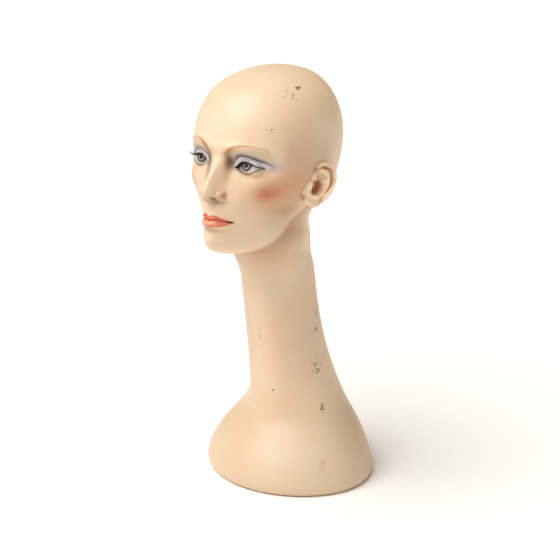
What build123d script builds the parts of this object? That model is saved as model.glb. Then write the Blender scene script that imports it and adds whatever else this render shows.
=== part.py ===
"""Display and training head on a long neck: two bonded glass-fibre shells, cast ears, a plywood base board
with a stand socket, and stuck-on upper lashes. Millimetres, +Z up, the face looks along -Y.
The origin is the mouth of the stand socket, in the plane that the base rests on."""

import os
from math import cos, radians, sin

import numpy as np
from build123d import *

# ---------------------------------------------------------------- driving sizes
shell_wall = 3.0  # glass-fibre lay-up
head_tilt = 13.0  # degrees, chin up
head_forward = 55.0  # ear axis, forward of the socket
head_height = 383.0  # eye line above the floor
head_scale = 1.0  # size of the head on its neck

parting_lean = 6.7  # degrees that the shells' joint leans forward
bond_width = 26.0  # glass tape over the joint, inside
bond_thick = 1.6
bond_gap = 0.1  # resin line between tape or block and shell
bond_start = 45.0  # height where the tape begins

felt_thick = 3.0
board_thick = 12.0
board_gap = 1.2  # board to shell, all round
block_length, block_depth, block_height = 34.0, 30.0, 20.0  # timber fixing blocks
block_angles = (48.0, 132.0, 228.0, 312.0)  # round the base, from the front
screw_inset = 16.0  # screw line, in from the board's edge

screw_radius = 2.0
screw_head_radius = 4.0
screw_head_height = 2.4
screw_length = 28.0
slot_width, slot_depth = 1.0, 1.1
hole_clearance = 0.15

socket_bore = 12.9  # radius, takes a 25 mm peg
socket_wall = 2.1
socket_height = 80.0
socket_gap = 0.2
weld_leg = 3.0
flange_radius = 40.0
flange_thick = 3.0
flange_screw_circle = 29.0
flange_screw_length = 9.0
flange_screw_count = 4

ear_height, ear_width, ear_thick = 52.0, 31.0, 6.0
ear_forward, ear_up, ear_out = -9.5, -6.0, 66.0  # the ear's front edge, in the head's own frame
ear_stand_off = 28.0  # degrees that it stands out from the head
ear_lean = 16.0  # degrees that its top leans back
concha_depth = 3.5

eye_apart, eye_forward, eye_up = 30.5, 61.0, 7.0  # centre of each lid's arc
lid_radius = 16.0
lid_half_angle = 52.0
lash_band_depth = 1.2
lash_depth = 8.0
lash_thick = 0.6

# ---------------------------------------------------------------- the form
# One row per level: heights at front, side and back, half width, reach forward, reach back,
# the centre's place forward, and how far the front and back narrow between centre line and side.
# The head's rows are in its own frame, whose origin is on the ear axis at eye level.
head_rows = [
    (111.5, 111.5, 111.5, 0, -33, -33, -33, 0, 0),
    (110.5, 110.3, 109.2, 19.5, -9.5, -54, -32.5, 0, 0),
    (104.2, 104.4, 103.6, 35.5, 20, -66, -28.5, 0, 0),
    (94, 95, 93, 50.5, 46.5, -79, -20, 0, 0),
    (80, 81, 79, 63, 66.5, -90, -14.5, 0, 0),
    (62, 62, 60.5, 71, 77.5, -100.5, -12, 0.05, 0),
    (43, 43, 43, 73.5, 84, -105, -11.5, 0.08, 0),
    (25, 25, 25, 73.5, 86, -105.5, -11.5, 0.1, 0),
    (11, 11, 11, 72.5, 85.5, -104.5, -11.5, 0.12, 0),
    (-3, -3, -3, 71, 83, -100.5, -11.5, 0.09, 0),
    (-16, -16, -16, 67.5, 82.5, -90, -10.5, 0.04, 0),
    (-29, -29, -29, 63.5, 83.5, -77.5, -10.5, -0.02, 0),
    (-43, -40, -40, 54.5, 85, -73, -12.5, -0.12, 0),
    (-56, -50, -50, 47.5, 85.5, -73.5, -16, -0.23, 0),
    (-69, -60, -59, 45.5, 86, -78.5, -19, -0.31, 0),
    (-81, -68, -67, 46, 83.5, -83.6, -21, -0.41, 0),
    (-91.5, -76, -75, 45.5, 76, -87.7, -24, -0.44, 0),
    (-95.5, -83, -83, 43.5, 55, -91.4, -28.5, -0.3, 0),
    (-95.5, -90, -91, 41.5, 31.5, -95, -32.5, -0.1, 0),
    (-99.5, -97, -99, 41, 8.5, -98.7, -38, 0, 0),
]
body_rows = [
    (258, 258, 258, 40.5, 68.5, -20, 24, 0, 0),
    (240, 240, 240, 40.5, 66, -23, 21, 0, 0),
    (216, 216, 216, 40.5, 62, -27.5, 18, 0, 0),
    (186, 186, 186, 41, 57, -34.5, 11.5, 0, 0),
    (156, 156, 156, 42.5, 52.5, -44, 4, 0, 0),
    (130, 130, 130, 45, 49.5, -54.5, -3, 0, 0),
    (108, 108, 108, 49, 46.5, -64, -8.5, -0.1, 0),
    (91, 91, 91, 54.5, 42.5, -70.5, -10.5, -0.22, 0),
    (76, 76, 76, 63, 43.5, -75.5, -10.5, -0.18, 0),
    (60, 60, 60, 77, 58, -80.5, -7.5, -0.04, 0),
    (42, 42, 42, 90, 74, -84.5, -3, -0.04, 0),
    (24, 24, 24, 98.5, 85, -87.5, -1, -0.04, 0),
    (9, 9, 9, 102, 86.5, -89, 0, -0.04, 0),
    (1.5, 1.5, 1.5, 100, 83, -88, 0, -0.04, 0),
    (0, 0, 0, 94.5, 77.5, -83, 0, -0.04, 0),
]
throat_drop, base_top = 125.0, 60.0  # the neck fills what is left between the head and the base
section_points = 44
front_crowding = 0.5  # how much closer together the points of a section stand towards the face
face_levels = 30  # sections between brow and throat
other_levels = 11  # sections over the crown, and twice that down the neck and base
crown_start = 0.3  # level of the small flat on the crown
brow_level, throat_level = 6.5, 19.0
flat_wall_sections = 5  # sections at the foot whose wall is moved in level


def to_world(x, forward, up):
    """Head frame to part frame: tilts back about the ear axis, then moves up onto the neck."""
    tilt = radians(head_tilt)
    x, forward, up = x * head_scale, forward * head_scale, up * head_scale
    ahead = forward * cos(tilt) - up * sin(tilt)
    above = up * cos(tilt) + forward * sin(tilt)
    return np.stack([x, -head_forward - ahead, head_height + above], -1)


def to_head(points):
    """Part frame to head frame."""
    tilt = radians(head_tilt)
    ahead = -points[..., 1] - head_forward
    above = points[..., 2] - head_height
    forward = ahead * cos(tilt) + above * sin(tilt)
    up = above * cos(tilt) - ahead * sin(tilt)
    return points[..., 0] / head_scale, forward / head_scale, up / head_scale


def row_curves(rows, angle):
    """Closed curves of the rows: an ellipse with its own reach each way, narrowed towards front and back."""
    table = np.array(rows, float)
    z_front, z_side, z_back, width, front, back, middle, narrow, narrow_back = table.T[:, :, None]
    c, s = np.cos(angle)[None], np.sin(angle)[None]
    ahead = c > 0
    x = width * s * (1 + np.where(ahead, narrow, narrow_back) * c * c)
    forward = middle + np.where(ahead, front - middle, middle - back) * c
    z = z_side + np.where(ahead, z_front - z_side, z_back - z_side) * c * c
    return x, forward, z


def control_net(angle):
    x, forward, z = row_curves(head_rows, angle)
    head = to_world(x, forward, z)
    x, forward, z = row_curves(body_rows, angle)
    stretch = (head_height - throat_drop * head_scale - base_top) / (body_rows[0][0] - base_top)
    z = np.where(z > base_top, base_top + stretch * (z - base_top), z)
    return np.concatenate([head, np.stack([x, -forward, z], -1)])


def spline_levels(net, level):
    """Uniform cubic B-spline through the rows: smooth, and ends on its first and last row."""
    ends = np.concatenate([2 * net[:1] - net[1:2], net, 2 * net[-1:] - net[-2:-1]])
    first = np.clip(np.floor(level).astype(int), 0, len(net) - 2)
    t = (level - first)[:, None, None]
    weights = ((1 - t) ** 3, 3 * t**3 - 6 * t**2 + 4, -3 * t**3 + 3 * t**2 + 3 * t + 1, t**3)
    return sum(w * ends[first + k] for k, w in enumerate(weights)) / 6


def bump(distance, width):
    return np.exp(-((distance / width) ** 2))


def step(value, low, high):
    t = np.clip((value - low) / (high - low), 0, 1)
    return t * t * (3 - 2 * t)


def face_relief(x, up):
    """Forward rise of the features over the smooth form, in the head frame."""
    side = np.abs(x)
    bridge = 22.5 * step(-up, -17, 31) ** 1.2 * step(up, -44, -33)
    nose_width = 8 + 5 * bump(up + 33, 8)
    nose = bridge * np.exp(-np.abs(x / nose_width) ** 2.4)
    sockets = -9.5 * bump(side - 35, 15) * bump(up - 5, 11)
    eyes = 5.0 * bump(side - 31, 12) * bump(up - 3, 8)
    cheeks = 3.5 * bump(side - 46, 16) * bump(up + 18, 14)
    lips = 4.0 * bump(x, 18) * (bump(up + 52, 4.5) + bump(up + 62, 5))
    groove = -2.5 * bump(x, 18) * bump(up + 71, 5)
    chin = 3.0 * bump(x, 16) * bump(up + 84, 9)
    return nose + sockets + eyes + cheeks + lips + groove + chin


def form_grid(angle, level):
    """Points of the outer surface and their outward normals, one row per level."""
    smooth = spline_levels(control_net(angle), level)
    x, forward, up = to_head(smooth)
    facing = step(forward, 30, 62) * step(level[:, None], 4, 7) * (level[:, None] < 18.5)
    forward = forward + facing * face_relief(x, up)
    surface = to_world(x, forward, up)
    along = np.gradient(smooth, axis=0)
    around = np.roll(smooth, -1, 1) - np.roll(smooth, 1, 1)
    normal = np.cross(around, along)
    normal = normal / np.linalg.norm(normal, axis=-1, keepdims=True)
    return surface, -normal


def closed_spline(ring):
    """A periodic curve with evenly spaced parameters, so that sections share their knots."""
    parameters = [float(k) for k in range(len(ring) + 1)]
    return Edge.make_spline([Vector(*p) for p in ring], periodic=True, parameters=parameters)


def section_levels():
    crown = np.linspace(crown_start, brow_level, other_levels)
    face = np.linspace(brow_level, throat_level, face_levels)[1:]
    last = len(head_rows) + len(body_rows) - 1
    lower = np.linspace(throat_level, last, 2 * other_levels)[1:]
    return np.concatenate([crown, face, lower])


def form_solid(inset):
    """The closed form, moved in by inset. The lowest section is flat, and so is the small one on the crown."""
    turn = np.linspace(0, 2 * np.pi, section_points, endpoint=False)
    points, normals = form_grid(turn - front_crowding * np.sin(turn), section_levels())
    upright = np.linspace(0, 1, flat_wall_sections)[:, None]
    normals[-flat_wall_sections:, :, 2] *= 1 - upright
    normals /= np.linalg.norm(normals, axis=-1, keepdims=True)
    points = points - inset * normals
    x, forward, up = to_head(points[0])
    points[0] = to_world(x, forward, np.full_like(up, up.mean()))
    points[-1, :, 2] = 0
    return Solid.make_loft([Wire(closed_spline(ring)) for ring in points])


# ---------------------------------------------------------------- shells and joint
def shells(outer, cavity):
    """The front and the rear shell, cut on a plane that leans forward through the ears."""
    joint = Plane.XZ.rotated((parting_lean, 0, 0))
    front, rear = split(outer, bisect_by=joint, keep=Keep.BOTH).solids().sort_by(Axis.Y)
    return front - cavity, rear - cavity


def bond_tape(seat):
    """Glass tape laid up inside, over the shells' joint, from above the base to above the base again."""
    inside = form_solid(shell_wall + bond_gap + bond_thick)
    reach = 4 * head_height
    strip = Rot(parting_lean, 0, 0) * Box(reach, bond_width, reach)
    strip &= Pos(0, 0, bond_start) * Box(reach, reach, reach, align=(Align.CENTER, Align.CENTER, Align.MIN))
    return (seat & strip) - inside


# ---------------------------------------------------------------- base
def base_outline(inset):
    angle = np.linspace(0, 2 * np.pi, section_points + 1)
    net = control_net(angle)[-1][:-1]
    around = np.roll(net, -1, 0) - np.roll(net, 1, 0)
    outward = np.stack([around[:, 1], -around[:, 0], 0 * around[:, 0]], -1)
    outward *= np.sign((outward * net).sum(1, keepdims=True))
    outward /= np.linalg.norm(outward, axis=1, keepdims=True)
    ring = net - inset * outward
    return make_face(closed_spline(ring))


def block_places():
    """Where each fixing block's screw stands, with local +X pointing out to the wall."""
    inset = shell_wall + board_gap + screw_inset
    places = []
    for angle in block_angles:
        near = control_net(np.radians([angle - 1, angle, angle + 1]))[-1]
        along = near[2] - near[0]
        outward = np.array([along[1], -along[0], 0])
        outward *= np.sign(outward @ near[1]) / np.linalg.norm(outward)
        centre = near[1] - inset * outward
        turn = float(np.degrees(np.arctan2(outward[1], outward[0])))
        places.append(Pos(centre[0], centre[1], 0) * Rot(0, 0, turn))
    return places


def cylinder(radius, low, high):
    return Pos(0, 0, low) * Cylinder(radius, high - low, align=(Align.CENTER, Align.CENTER, Align.MIN))


def cone(low_radius, high_radius, low, high):
    solid = Cone(low_radius, high_radius, high - low, align=(Align.CENTER, Align.CENTER, Align.MIN))
    return Pos(0, 0, low) * solid


def base_felt():
    sheet = extrude(base_outline(shell_wall + board_gap), felt_thick)
    return sheet - cylinder(socket_bore + socket_wall + socket_gap, 0, felt_thick)


def board_screw():
    """Countersunk, driven up from the underside of the board."""
    head_top = felt_thick + screw_head_height
    tip = felt_thick + screw_length
    taper = cone(screw_radius, 0.4, tip - 3 * screw_radius, tip)
    head = cone(screw_head_radius, screw_radius, felt_thick, head_top)
    shank = cylinder(screw_radius, head_top, tip - 3 * screw_radius)
    slot = Pos(0, 0, felt_thick) * Box(2.4 * screw_head_radius, slot_width, 2 * slot_depth)
    return head + shank + taper - slot


def screw_hole():
    return cylinder(screw_radius + hole_clearance, 0, felt_thick + screw_length + 1) + cone(
        screw_head_radius + hole_clearance,
        screw_radius + hole_clearance,
        felt_thick,
        felt_thick + screw_head_height,
    )


def base_board():
    board = Pos(0, 0, felt_thick) * extrude(base_outline(shell_wall + board_gap), board_thick)
    board -= cylinder(socket_bore + socket_wall + socket_gap, 0, 2 * board_thick)
    for place in block_places():
        board -= place * screw_hole()
    for place in flange_places():
        pilot = screw_radius + hole_clearance
        board -= place * cylinder(pilot, flange_top() - flange_thick - flange_screw_length, 2 * board_thick)
    return board


def fixing_blocks(seat):
    """Four blocks cut to the wall's curve, with a screw hole up through each."""
    low = felt_thick + board_thick
    box = Box(block_depth, block_length, block_height, align=(Align.CENTER, Align.CENTER, Align.MIN))
    blocks = Part() + [place * Pos(block_depth / 4, 0, low) * box for place in block_places()]
    blocks &= seat
    for place in block_places():
        blocks -= place * screw_hole()
    return blocks


# ---------------------------------------------------------------- stand socket
def flange_top():
    return felt_thick + board_thick + flange_thick


def flange_places():
    turn = 360 / flange_screw_count
    return [Rot(0, 0, turn * (k + 0.5)) * Pos(flange_screw_circle, 0, 0) for k in range(flange_screw_count)]


def socket_tube():
    return cylinder(socket_bore + socket_wall, 0, socket_height) - cylinder(socket_bore, 0, socket_height)


def socket_flange():
    plate = cylinder(flange_radius, flange_top() - flange_thick, flange_top())
    plate -= cylinder(socket_bore + socket_wall + socket_gap, 0, 2 * flange_top())
    for place in flange_places():
        plate -= place * cylinder(screw_radius + hole_clearance, 0, 2 * flange_top())
    return plate


def socket_weld():
    """A fillet of weld in the corner between tube and flange."""
    tube_radius = socket_bore + socket_wall
    bead = cone(tube_radius + weld_leg, tube_radius, flange_top(), flange_top() + weld_leg)
    return bead - cylinder(tube_radius, 0, 2 * socket_height)


def socket_screw():
    """Round-headed, driven down through the flange."""
    top = flange_top()
    ball = Pos(0, 0, top) * Sphere(screw_head_radius) & cylinder(screw_head_radius, top, top + screw_head_height)
    shank = cylinder(screw_radius, top - flange_thick - flange_screw_length + 0.5, top)
    slot = Pos(0, 0, top + screw_head_height) * Box(2.4 * screw_head_radius, slot_width, 2 * slot_depth)
    return ball + shank - slot


# ---------------------------------------------------------------- ears and lashes
def ear(outer):
    """The left ear: an egg-shaped plate standing out from the head, dished in the middle, on a root cut to the shell."""
    half, wide = ear_height / 2, ear_width
    outline = [(0, half * 0.55), (wide * 0.45, half), (wide * 0.95, half * 0.6), (wide * 0.97, -half * 0.05)]
    outline += [(wide * 0.6, -half * 0.7), (wide * 0.22, -half), (0, -half * 0.75), (-1.5, 0)]
    face = make_face(Edge.make_spline([Vector(a, b) for a, b in outline], periodic=True))
    plate = extrude(face, ear_thick)
    bowl = Pos(wide * 0.42, -half * 0.05, ear_thick) * Cylinder(wide * 0.24, 2 * concha_depth)
    root = Pos(wide * 0.38, 0, 0) * Cylinder(wide * 0.36, ear_out / 2, align=(Align.CENTER, Align.CENTER, Align.MAX))
    blank = plate + root - bowl
    out = radians(ear_stand_off)
    stand = Plane(origin=(0, 0, 0), x_dir=(sin(out), cos(out), 0), z_dir=(cos(out), -sin(out), 0))
    spot = to_world(np.array(ear_out), np.array(ear_forward + ear_width / 2), np.array(ear_up))
    return Pos(*[float(v) for v in spot]) * Rot(-head_tilt - ear_lean, 0, 0) * (stand * blank) - outer


def lash_part(low_radius, high_radius):
    """A crescent lying along the left upper lid, between two radii about the eye."""
    reach = radians(lid_half_angle)
    across, away = 2 * high_radius * sin(reach), 2 * high_radius * cos(reach)
    sector = make_face(Polyline((0, 0), (-across, -away), (across, -away), close=True))
    crescent = extrude((Circle(high_radius) - Circle(low_radius)) & sector, lash_thick)
    spot = to_world(np.array(eye_apart), np.array(eye_forward), np.array(eye_up))
    return Pos(*[float(v) for v in spot]) * Rot(-head_tilt, 0, 0) * crescent


def largest(shape):
    return max(shape.solids(), key=lambda solid: solid.volume)


def main():
    os.makedirs("parts", exist_ok=True)
    outer = form_solid(0.0)
    cavity = form_solid(shell_wall)
    seat = form_solid(shell_wall + bond_gap)
    front, rear = shells(outer, cavity)
    parts = {
        "front_shell": front,
        "rear_shell": rear,
        "bond_tape": bond_tape(seat),
        "base_felt": base_felt(),
        "base_board": base_board(),
        "fixing_blocks": fixing_blocks(seat),
        "board_screws": Compound(children=[place * board_screw() for place in block_places()]),
        "socket_tube": socket_tube(),
        "socket_flange": socket_flange(),
        "socket_weld": socket_weld(),
        "socket_screws": Compound(children=[place * socket_screw() for place in flange_places()]),
    }
    band_end = lid_radius + lash_band_depth
    handed = {
        "ear": largest(ear(outer)),
        "lash_band": largest(lash_part(lid_radius, band_end) - outer),
        "lash_fibres": largest(lash_part(band_end, lid_radius + lash_depth) - outer),
    }
    for name, shape in handed.items():
        parts["left_" + name] = shape
        parts["right_" + name] = mirror(shape, about=Plane.YZ)
    for name, shape in parts.items():
        export_step(shape, f"parts/{name}.step")
        print(name, round(shape.volume))


main()
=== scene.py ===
from math import cos, radians, sin, tan

import bmesh
import bpy
import numpy as np
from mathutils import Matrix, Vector


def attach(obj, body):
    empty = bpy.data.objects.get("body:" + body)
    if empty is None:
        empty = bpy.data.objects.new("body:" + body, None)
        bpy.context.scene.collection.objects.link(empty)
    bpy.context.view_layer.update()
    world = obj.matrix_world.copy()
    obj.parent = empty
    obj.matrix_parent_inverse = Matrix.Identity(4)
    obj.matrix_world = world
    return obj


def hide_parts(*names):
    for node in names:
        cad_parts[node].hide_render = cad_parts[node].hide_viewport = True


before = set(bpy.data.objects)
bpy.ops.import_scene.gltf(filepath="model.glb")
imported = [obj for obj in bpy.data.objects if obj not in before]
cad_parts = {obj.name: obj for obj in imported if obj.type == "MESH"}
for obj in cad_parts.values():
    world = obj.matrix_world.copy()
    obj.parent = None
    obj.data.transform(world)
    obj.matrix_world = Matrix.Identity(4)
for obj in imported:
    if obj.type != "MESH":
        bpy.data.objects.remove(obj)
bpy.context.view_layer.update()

print("frame loaded")
mm = 0.001

# the form: rows of an egg-shaped section, the same as the moulded shells are cut to
form = dict(
    headTilt=13.0,  # degrees, chin up
    headForward=55.0,  # mm from the stand socket to the ear axis
    headHeight=383.0,
    partingLean=6.7,  # degrees that the shells' joint leans forward
    wall=3.0,  # laminate
)
# heights at front, side and back, half width, reach forward, reach back, centre, narrowing of the front half
headRows = [
    (111.5, 111.5, 111.5, 0, -33, -33, -33, 0),
    (110.5, 110.3, 109.2, 19.5, -9.5, -54, -32.5, 0),
    (104.2, 104.4, 103.6, 35.5, 20, -66, -28.5, 0),
    (94, 95, 93, 50.5, 46.5, -79, -20, 0),
    (80, 81, 79, 63, 66.5, -90, -14.5, 0),
    (62, 62, 60.5, 71, 77.5, -100.5, -12, 0.05),
    (43, 43, 43, 73.5, 84, -105, -11.5, 0.08),
    (25, 25, 25, 73.5, 86, -105.5, -11.5, 0.1),
    (11, 11, 11, 72.5, 85.5, -104.5, -11.5, 0.12),
    (-3, -3, -3, 71, 83, -100.5, -11.5, 0.09),
    (-16, -16, -16, 67.5, 82.5, -90, -10.5, 0.04),
    (-29, -29, -29, 63.5, 83.5, -77.5, -10.5, -0.02),
    (-43, -40, -40, 54.5, 85, -73, -12.5, -0.12),
    (-56, -50, -50, 47.5, 85.5, -73.5, -16, -0.23),
    (-69, -60, -59, 45.5, 86, -78.5, -19, -0.31),
    (-81, -68, -67, 46, 83.5, -83.6, -21, -0.41),
    (-91.5, -76, -75, 45.5, 76, -87.7, -24, -0.44),
    (-95.5, -83, -83, 43.5, 55, -91.4, -28.5, -0.3),
    (-95.5, -90, -91, 41.5, 31.5, -95, -32.5, -0.1),
    (-99.5, -97, -99, 41, 8.5, -98.7, -38, 0),
]
bodyRows = [
    (258, 40.5, 68.5, -20, 24, 0),
    (240, 40.5, 66, -23, 21, 0),
    (216, 40.5, 62, -27.5, 18, 0),
    (186, 41, 57, -34.5, 11.5, 0),
    (156, 42.5, 52.5, -44, 4, 0),
    (130, 45, 49.5, -54.5, -3, 0),
    (108, 49, 46.5, -64, -8.5, -0.1),
    (91, 54.5, 42.5, -70.5, -10.5, -0.22),
    (76, 63, 43.5, -75.5, -10.5, -0.18),
    (60, 77, 58, -80.5, -7.5, -0.04),
    (42, 90, 74, -84.5, -3, -0.04),
    (24, 98.5, 85, -87.5, -1, -0.04),
    (9, 102, 86.5, -89, 0, -0.04),
    (1.5, 100, 83, -88, 0, -0.04),
    (0, 94.5, 77.5, -83, 0, -0.04),
]
rowTable = np.array(headRows + [(z, z, z, w, f, b, m, n) for z, w, f, b, m, n in bodyRows], float)
headCount, rowCount = len(headRows), len(rowTable)


# head frame to object frame: tilts back about the ear axis, then moves up onto the neck
def toWorld(x, forward, up):
    tilt = radians(form["headTilt"])
    ahead = forward * cos(tilt) - up * sin(tilt)
    above = up * cos(tilt) + forward * sin(tilt)
    return np.stack([x, -form["headForward"] - ahead, form["headHeight"] + above], -1)


# object frame to head frame
def toHead(points):
    tilt = radians(form["headTilt"])
    ahead = -points[..., 1] - form["headForward"]
    above = points[..., 2] - form["headHeight"]
    return points[..., 0], ahead * cos(tilt) + above * sin(tilt), above * cos(tilt) - ahead * sin(tilt)


# a bell of height one: e to the minus square of distance over width
def bump(distance, width):
    return np.exp(-((distance / width) ** 2))


# zero below low, one above high, smooth between
def step(value, low, high):
    t = np.clip((value - low) / (high - low), 0, 1)
    return t * t * (3 - 2 * t)


# the larger of two, with the corner between them rounded over the distance k
def softMax(a, b, k):
    return (a + b + np.sqrt((a - b) ** 2 + k * k)) / 2


# a curve through a few (place, value) knots, as the polynomial of least degree, held level past its ends
def throughKnots(knots, place):
    x, y = np.array(knots, float).T
    middle = x.mean()
    return np.polyval(np.polyfit(x - middle, y, len(x) - 1), np.clip(place, x[0], x[-1]) - middle)


# points of one row: sine across, cosine forward, each way with its own reach
def rowPoints(index, angle, table):
    row = table[index][:, :, None]
    c, s = np.cos(angle), np.sin(angle)
    ahead = c > 0
    x = row[:, 3] * s * (1 + np.where(ahead, row[:, 7], 0) * c * c)
    forward = row[:, 6] + np.where(ahead, row[:, 4] - row[:, 6], row[:, 6] - row[:, 5]) * c
    up = row[:, 1] + np.where(ahead, row[:, 0] - row[:, 1], row[:, 2] - row[:, 1]) * c * c
    inHead = (index < headCount)[:, None, None]
    return np.where(inHead, toWorld(x, forward, up), np.stack([x, -forward, up], -1))


# the smooth form: a uniform cubic B-spline over the rows, at each level and angle
def formPoints(level, angle, table=rowTable):
    first = np.clip(np.floor(level).astype(int), 0, rowCount - 2)
    t = (level - first)[:, None, None]
    weights = ((1 - t) ** 3, 3 * t**3 - 6 * t**2 + 4, -3 * t**3 + 3 * t**2 + 3 * t + 1, t**3)
    total = 0
    for k, weight in enumerate(weights):
        index = first + k - 1
        inner = np.clip(index, 0, rowCount - 1)
        points = rowPoints(inner, angle, table)
        mirrored = 2 * points - rowPoints(np.clip(2 * inner - index, 0, rowCount - 1), angle, table)
        outside = (index != inner)[:, None, None]
        total = total + weight * np.where(outside, mirrored, points)
    return total / 6


# features of the face, in mm in the head frame
eye = dict(
    irisSide=29.4, irisUp=6.2, irisRadius=6.3,
    ballRadius=12.7, ballSquash=0.96, ballForward=60.4, ballSide=29.8, ballUp=4.4, lid=1.2,
    upperEdge=[(18.5, 2.4), (23.5, 7.6), (30, 9.4), (36.0, 8.0), (42.4, 5.2)],
    lowerEdge=[(18.5, 2.2), (24.5, -0.2), (31, -1.4), (37, 0.6), (42.4, 4.8)],
    crease=[(16.5, 6.8), (21, 13.0), (28, 15.7), (39, 12.9), (49, 8.0)],
    brow=[(10.5, 16.5), (17.5, 23.0), (27, 26.4), (39, 26.8), (52, 22.4)],
    browHalf=1.8, lineEnds=(17.8, 42.8),
)
mouth = dict(up=-56.5, half=19.0, upper=5.2, lower=8.4, droop=0.6)
nose = dict(tipUp=-24.0, rise=20.0)


# distances in mm to the lids' edges and the opening: above zero inside the opening, less of the three
def eyeFields(side, up):
    upper = belowCurve(eye["upperEdge"], side, up)
    lower = -belowCurve(eye["lowerEdge"], side, up)
    ends = np.minimum(side - eye["upperEdge"][0][0], eye["upperEdge"][-1][0] - side) * 0.45
    opening = np.minimum(np.minimum(upper, lower), ends)
    return upper, lower, opening


# the ball behind the lids: square of its depth at a place, and how far forward its face stands
def eyeBall(side, up):
    across = (side - eye["ballSide"]) * eye["ballSquash"]
    ahead = eye["ballRadius"] ** 2 - across**2 - (up - eye["ballUp"]) ** 2
    return ahead, eye["ballForward"] + np.sqrt(np.clip(ahead, 1, None))


# signed distance below a curve through knots: its height there less the point's, times the cosine of its slope
def belowCurve(knots, side, up):
    slope = (throughKnots(knots, side + 0.2) - throughKnots(knots, side - 0.2)) / 0.4
    return (throughKnots(knots, side) - up) / np.sqrt(1 + slope**2)


# the lips' edges at a place across the mouth: the line where they meet, and how far each reaches
def lipEdges(x):
    share = np.clip(1 - (x / mouth["half"]) ** 2, 0, 1)
    line = mouth["up"] - mouth["droop"] * (x / mouth["half"]) ** 2 + 0.5 * bump(np.abs(x) - 6, 4) - 0.5 * bump(x, 3)
    upper = line + mouth["upper"] * share**0.75 * (1 - 0.16 * bump(x, 2.6) + 0.06 * bump(np.abs(x) - 4.5, 3))
    lower = line - mouth["lower"] * share**0.75
    return line, upper, lower


# forward place of the skin: the smooth form with sockets, nose, eyes, lips and chin added or cut
def faceForward(x, smooth, up):
    side = np.abs(x)
    skin = smooth - 10.5 * bump(side - 35, 16) * bump(up - 5, 10.5) - 4.0 * bump(side - 48, 9) * bump(up - 4, 8)
    skin += 4.2 * bump(side - 22, 22) * bump(up - 20.5, 7.5) - 1.5 * bump(side - 62, 12) * bump(up - 18, 14)
    skin += 4.4 * bump(side - 47, 14) * bump(up + 17, 10) - 2.2 * bump(side - 40, 13) * bump(up + 46, 14)
    skin += 1.0 * bump(x, 22) * bump(up + 54, 14) + 2.2 * bump(x, 16) * bump(up + 83, 9)
    skin -= 3.0 * bump(side - 19, 8) * bump(up + 57, 10)
    skin -= 2.6 * bump(x, 17) * bump(up + 71, 4.5)
    skin -= 3.4 * bump(side - 17, 6) * bump(up - 7, 8)  # beside the bridge, at the inner corner

    # nose: a ridge that rises towards the tip, with a rounded end, two wings and a bar between the nostrils
    climb = step(-up, -19, 26) ** 1.15
    under = np.clip(1 - (np.clip(-26.5 - up, 0, 9) / 9) ** 2.4, 0, 1) ** 0.62
    width = 5.2 + 2.4 * step(-up, 6, 26)
    ridge = nose["rise"] * climb * under
    bridge = ridge * (0.6 * np.exp(-np.abs(x / width) ** 2.5) + 0.4 * bump(x, width * 1.75))
    bridge -= 1.2 * bump(x, 10) * bump(up - 12, 6)
    skin = skin + bridge
    centre = 83.5
    for at, atForward, atUp, sizes in (
        (0, centre + 9.6, nose["tipUp"], (7.2, 8.6, 7.4)),
        (9.6, centre - 0.5, -29.2, (5.0, 8.6, 5.8)),
        (0, centre + 3.4, -33.4, (2.8, 8.2, 3.4)),
    ):
        inside = 1 - ((side - at) / sizes[0]) ** 2 - ((up - atUp) / sizes[2]) ** 2
        ball = atForward + sizes[1] * np.sqrt(np.clip(inside, 0, 1)) - 30 * np.clip(-inside, 0, None)
        skin = softMax(skin, ball, 1.4)
    skin -= 1.8 * bump(side - 5.4, 2.6) * bump(up + 33.6, 1.9)

    # upper lip groove, lips and the corners of the mouth
    skin -= 0.9 * bump(x, 2.6) * bump(up + 44, 5) - 0.4 * bump(side - 4.6, 2) * bump(up + 45, 5)
    line, upper, lower = lipEdges(x)
    full = np.clip(1 - (x / mouth["half"]) ** 2, 0, 1) ** 0.6
    skin += 2.9 * full * bump(up - line - 2.5, 2.9) + 4.0 * full * bump(up - line + 4.0, 3.6)
    skin -= 2.2 * bump(up - line, 0.9) * step(-side, -21, -16)
    skin -= 1.8 * bump(side - 20.5, 2.8) * bump(up - mouth["up"] + mouth["droop"], 3.0)

    # eyes: lids lie over a ball, and the opening lies on the ball itself
    ahead, ball = eyeBall(side, up)
    lids = ball + eye["lid"]
    near = step(ahead, 2, 50)
    skin = np.where(near > 0, skin + near * (softMax(skin, lids, 2.2) - skin), skin)
    upperEdge, lowerEdge, opening = eyeFields(side, up)
    crease = throughKnots(eye["crease"], side)
    along = step(side, 16, 21) * step(-side, -50, -43)
    skin -= 1.3 * bump(up - crease - 0.3, 1.6) * along
    skin += 0.7 * bump(upperEdge + 0.9, 0.9) * along + 0.5 * bump(lowerEdge + 0.9, 0.9) * along
    seen = step(opening, -0.35, 0.45)
    return skin + seen * (ball - skin)


# level of each grid line: equal steps of the summed density, which is higher where a feature needs it
def gridLevels():
    fine = np.linspace(0.004, rowCount - 1, 6000)
    density = 6 + 3 * (fine < 7) + 17 * step(fine, 6.2, 7.2) * step(-fine, -16.2, -15.2)
    density += 14 * bump(fine - 11.75, 0.22) + 7 * bump(fine - 13.2, 0.5) + 5 * bump(fine - 8.6, 0.5)
    density += 6 * bump(fine - 16.7, 0.8) + 4 * step(fine, 31, 32.5)
    total = np.concatenate([[0], np.cumsum((density[1:] + density[:-1]) / 2 * np.diff(fine))])
    return np.interp(np.linspace(0, total[-1], int(total[-1])), total, fine)


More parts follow.
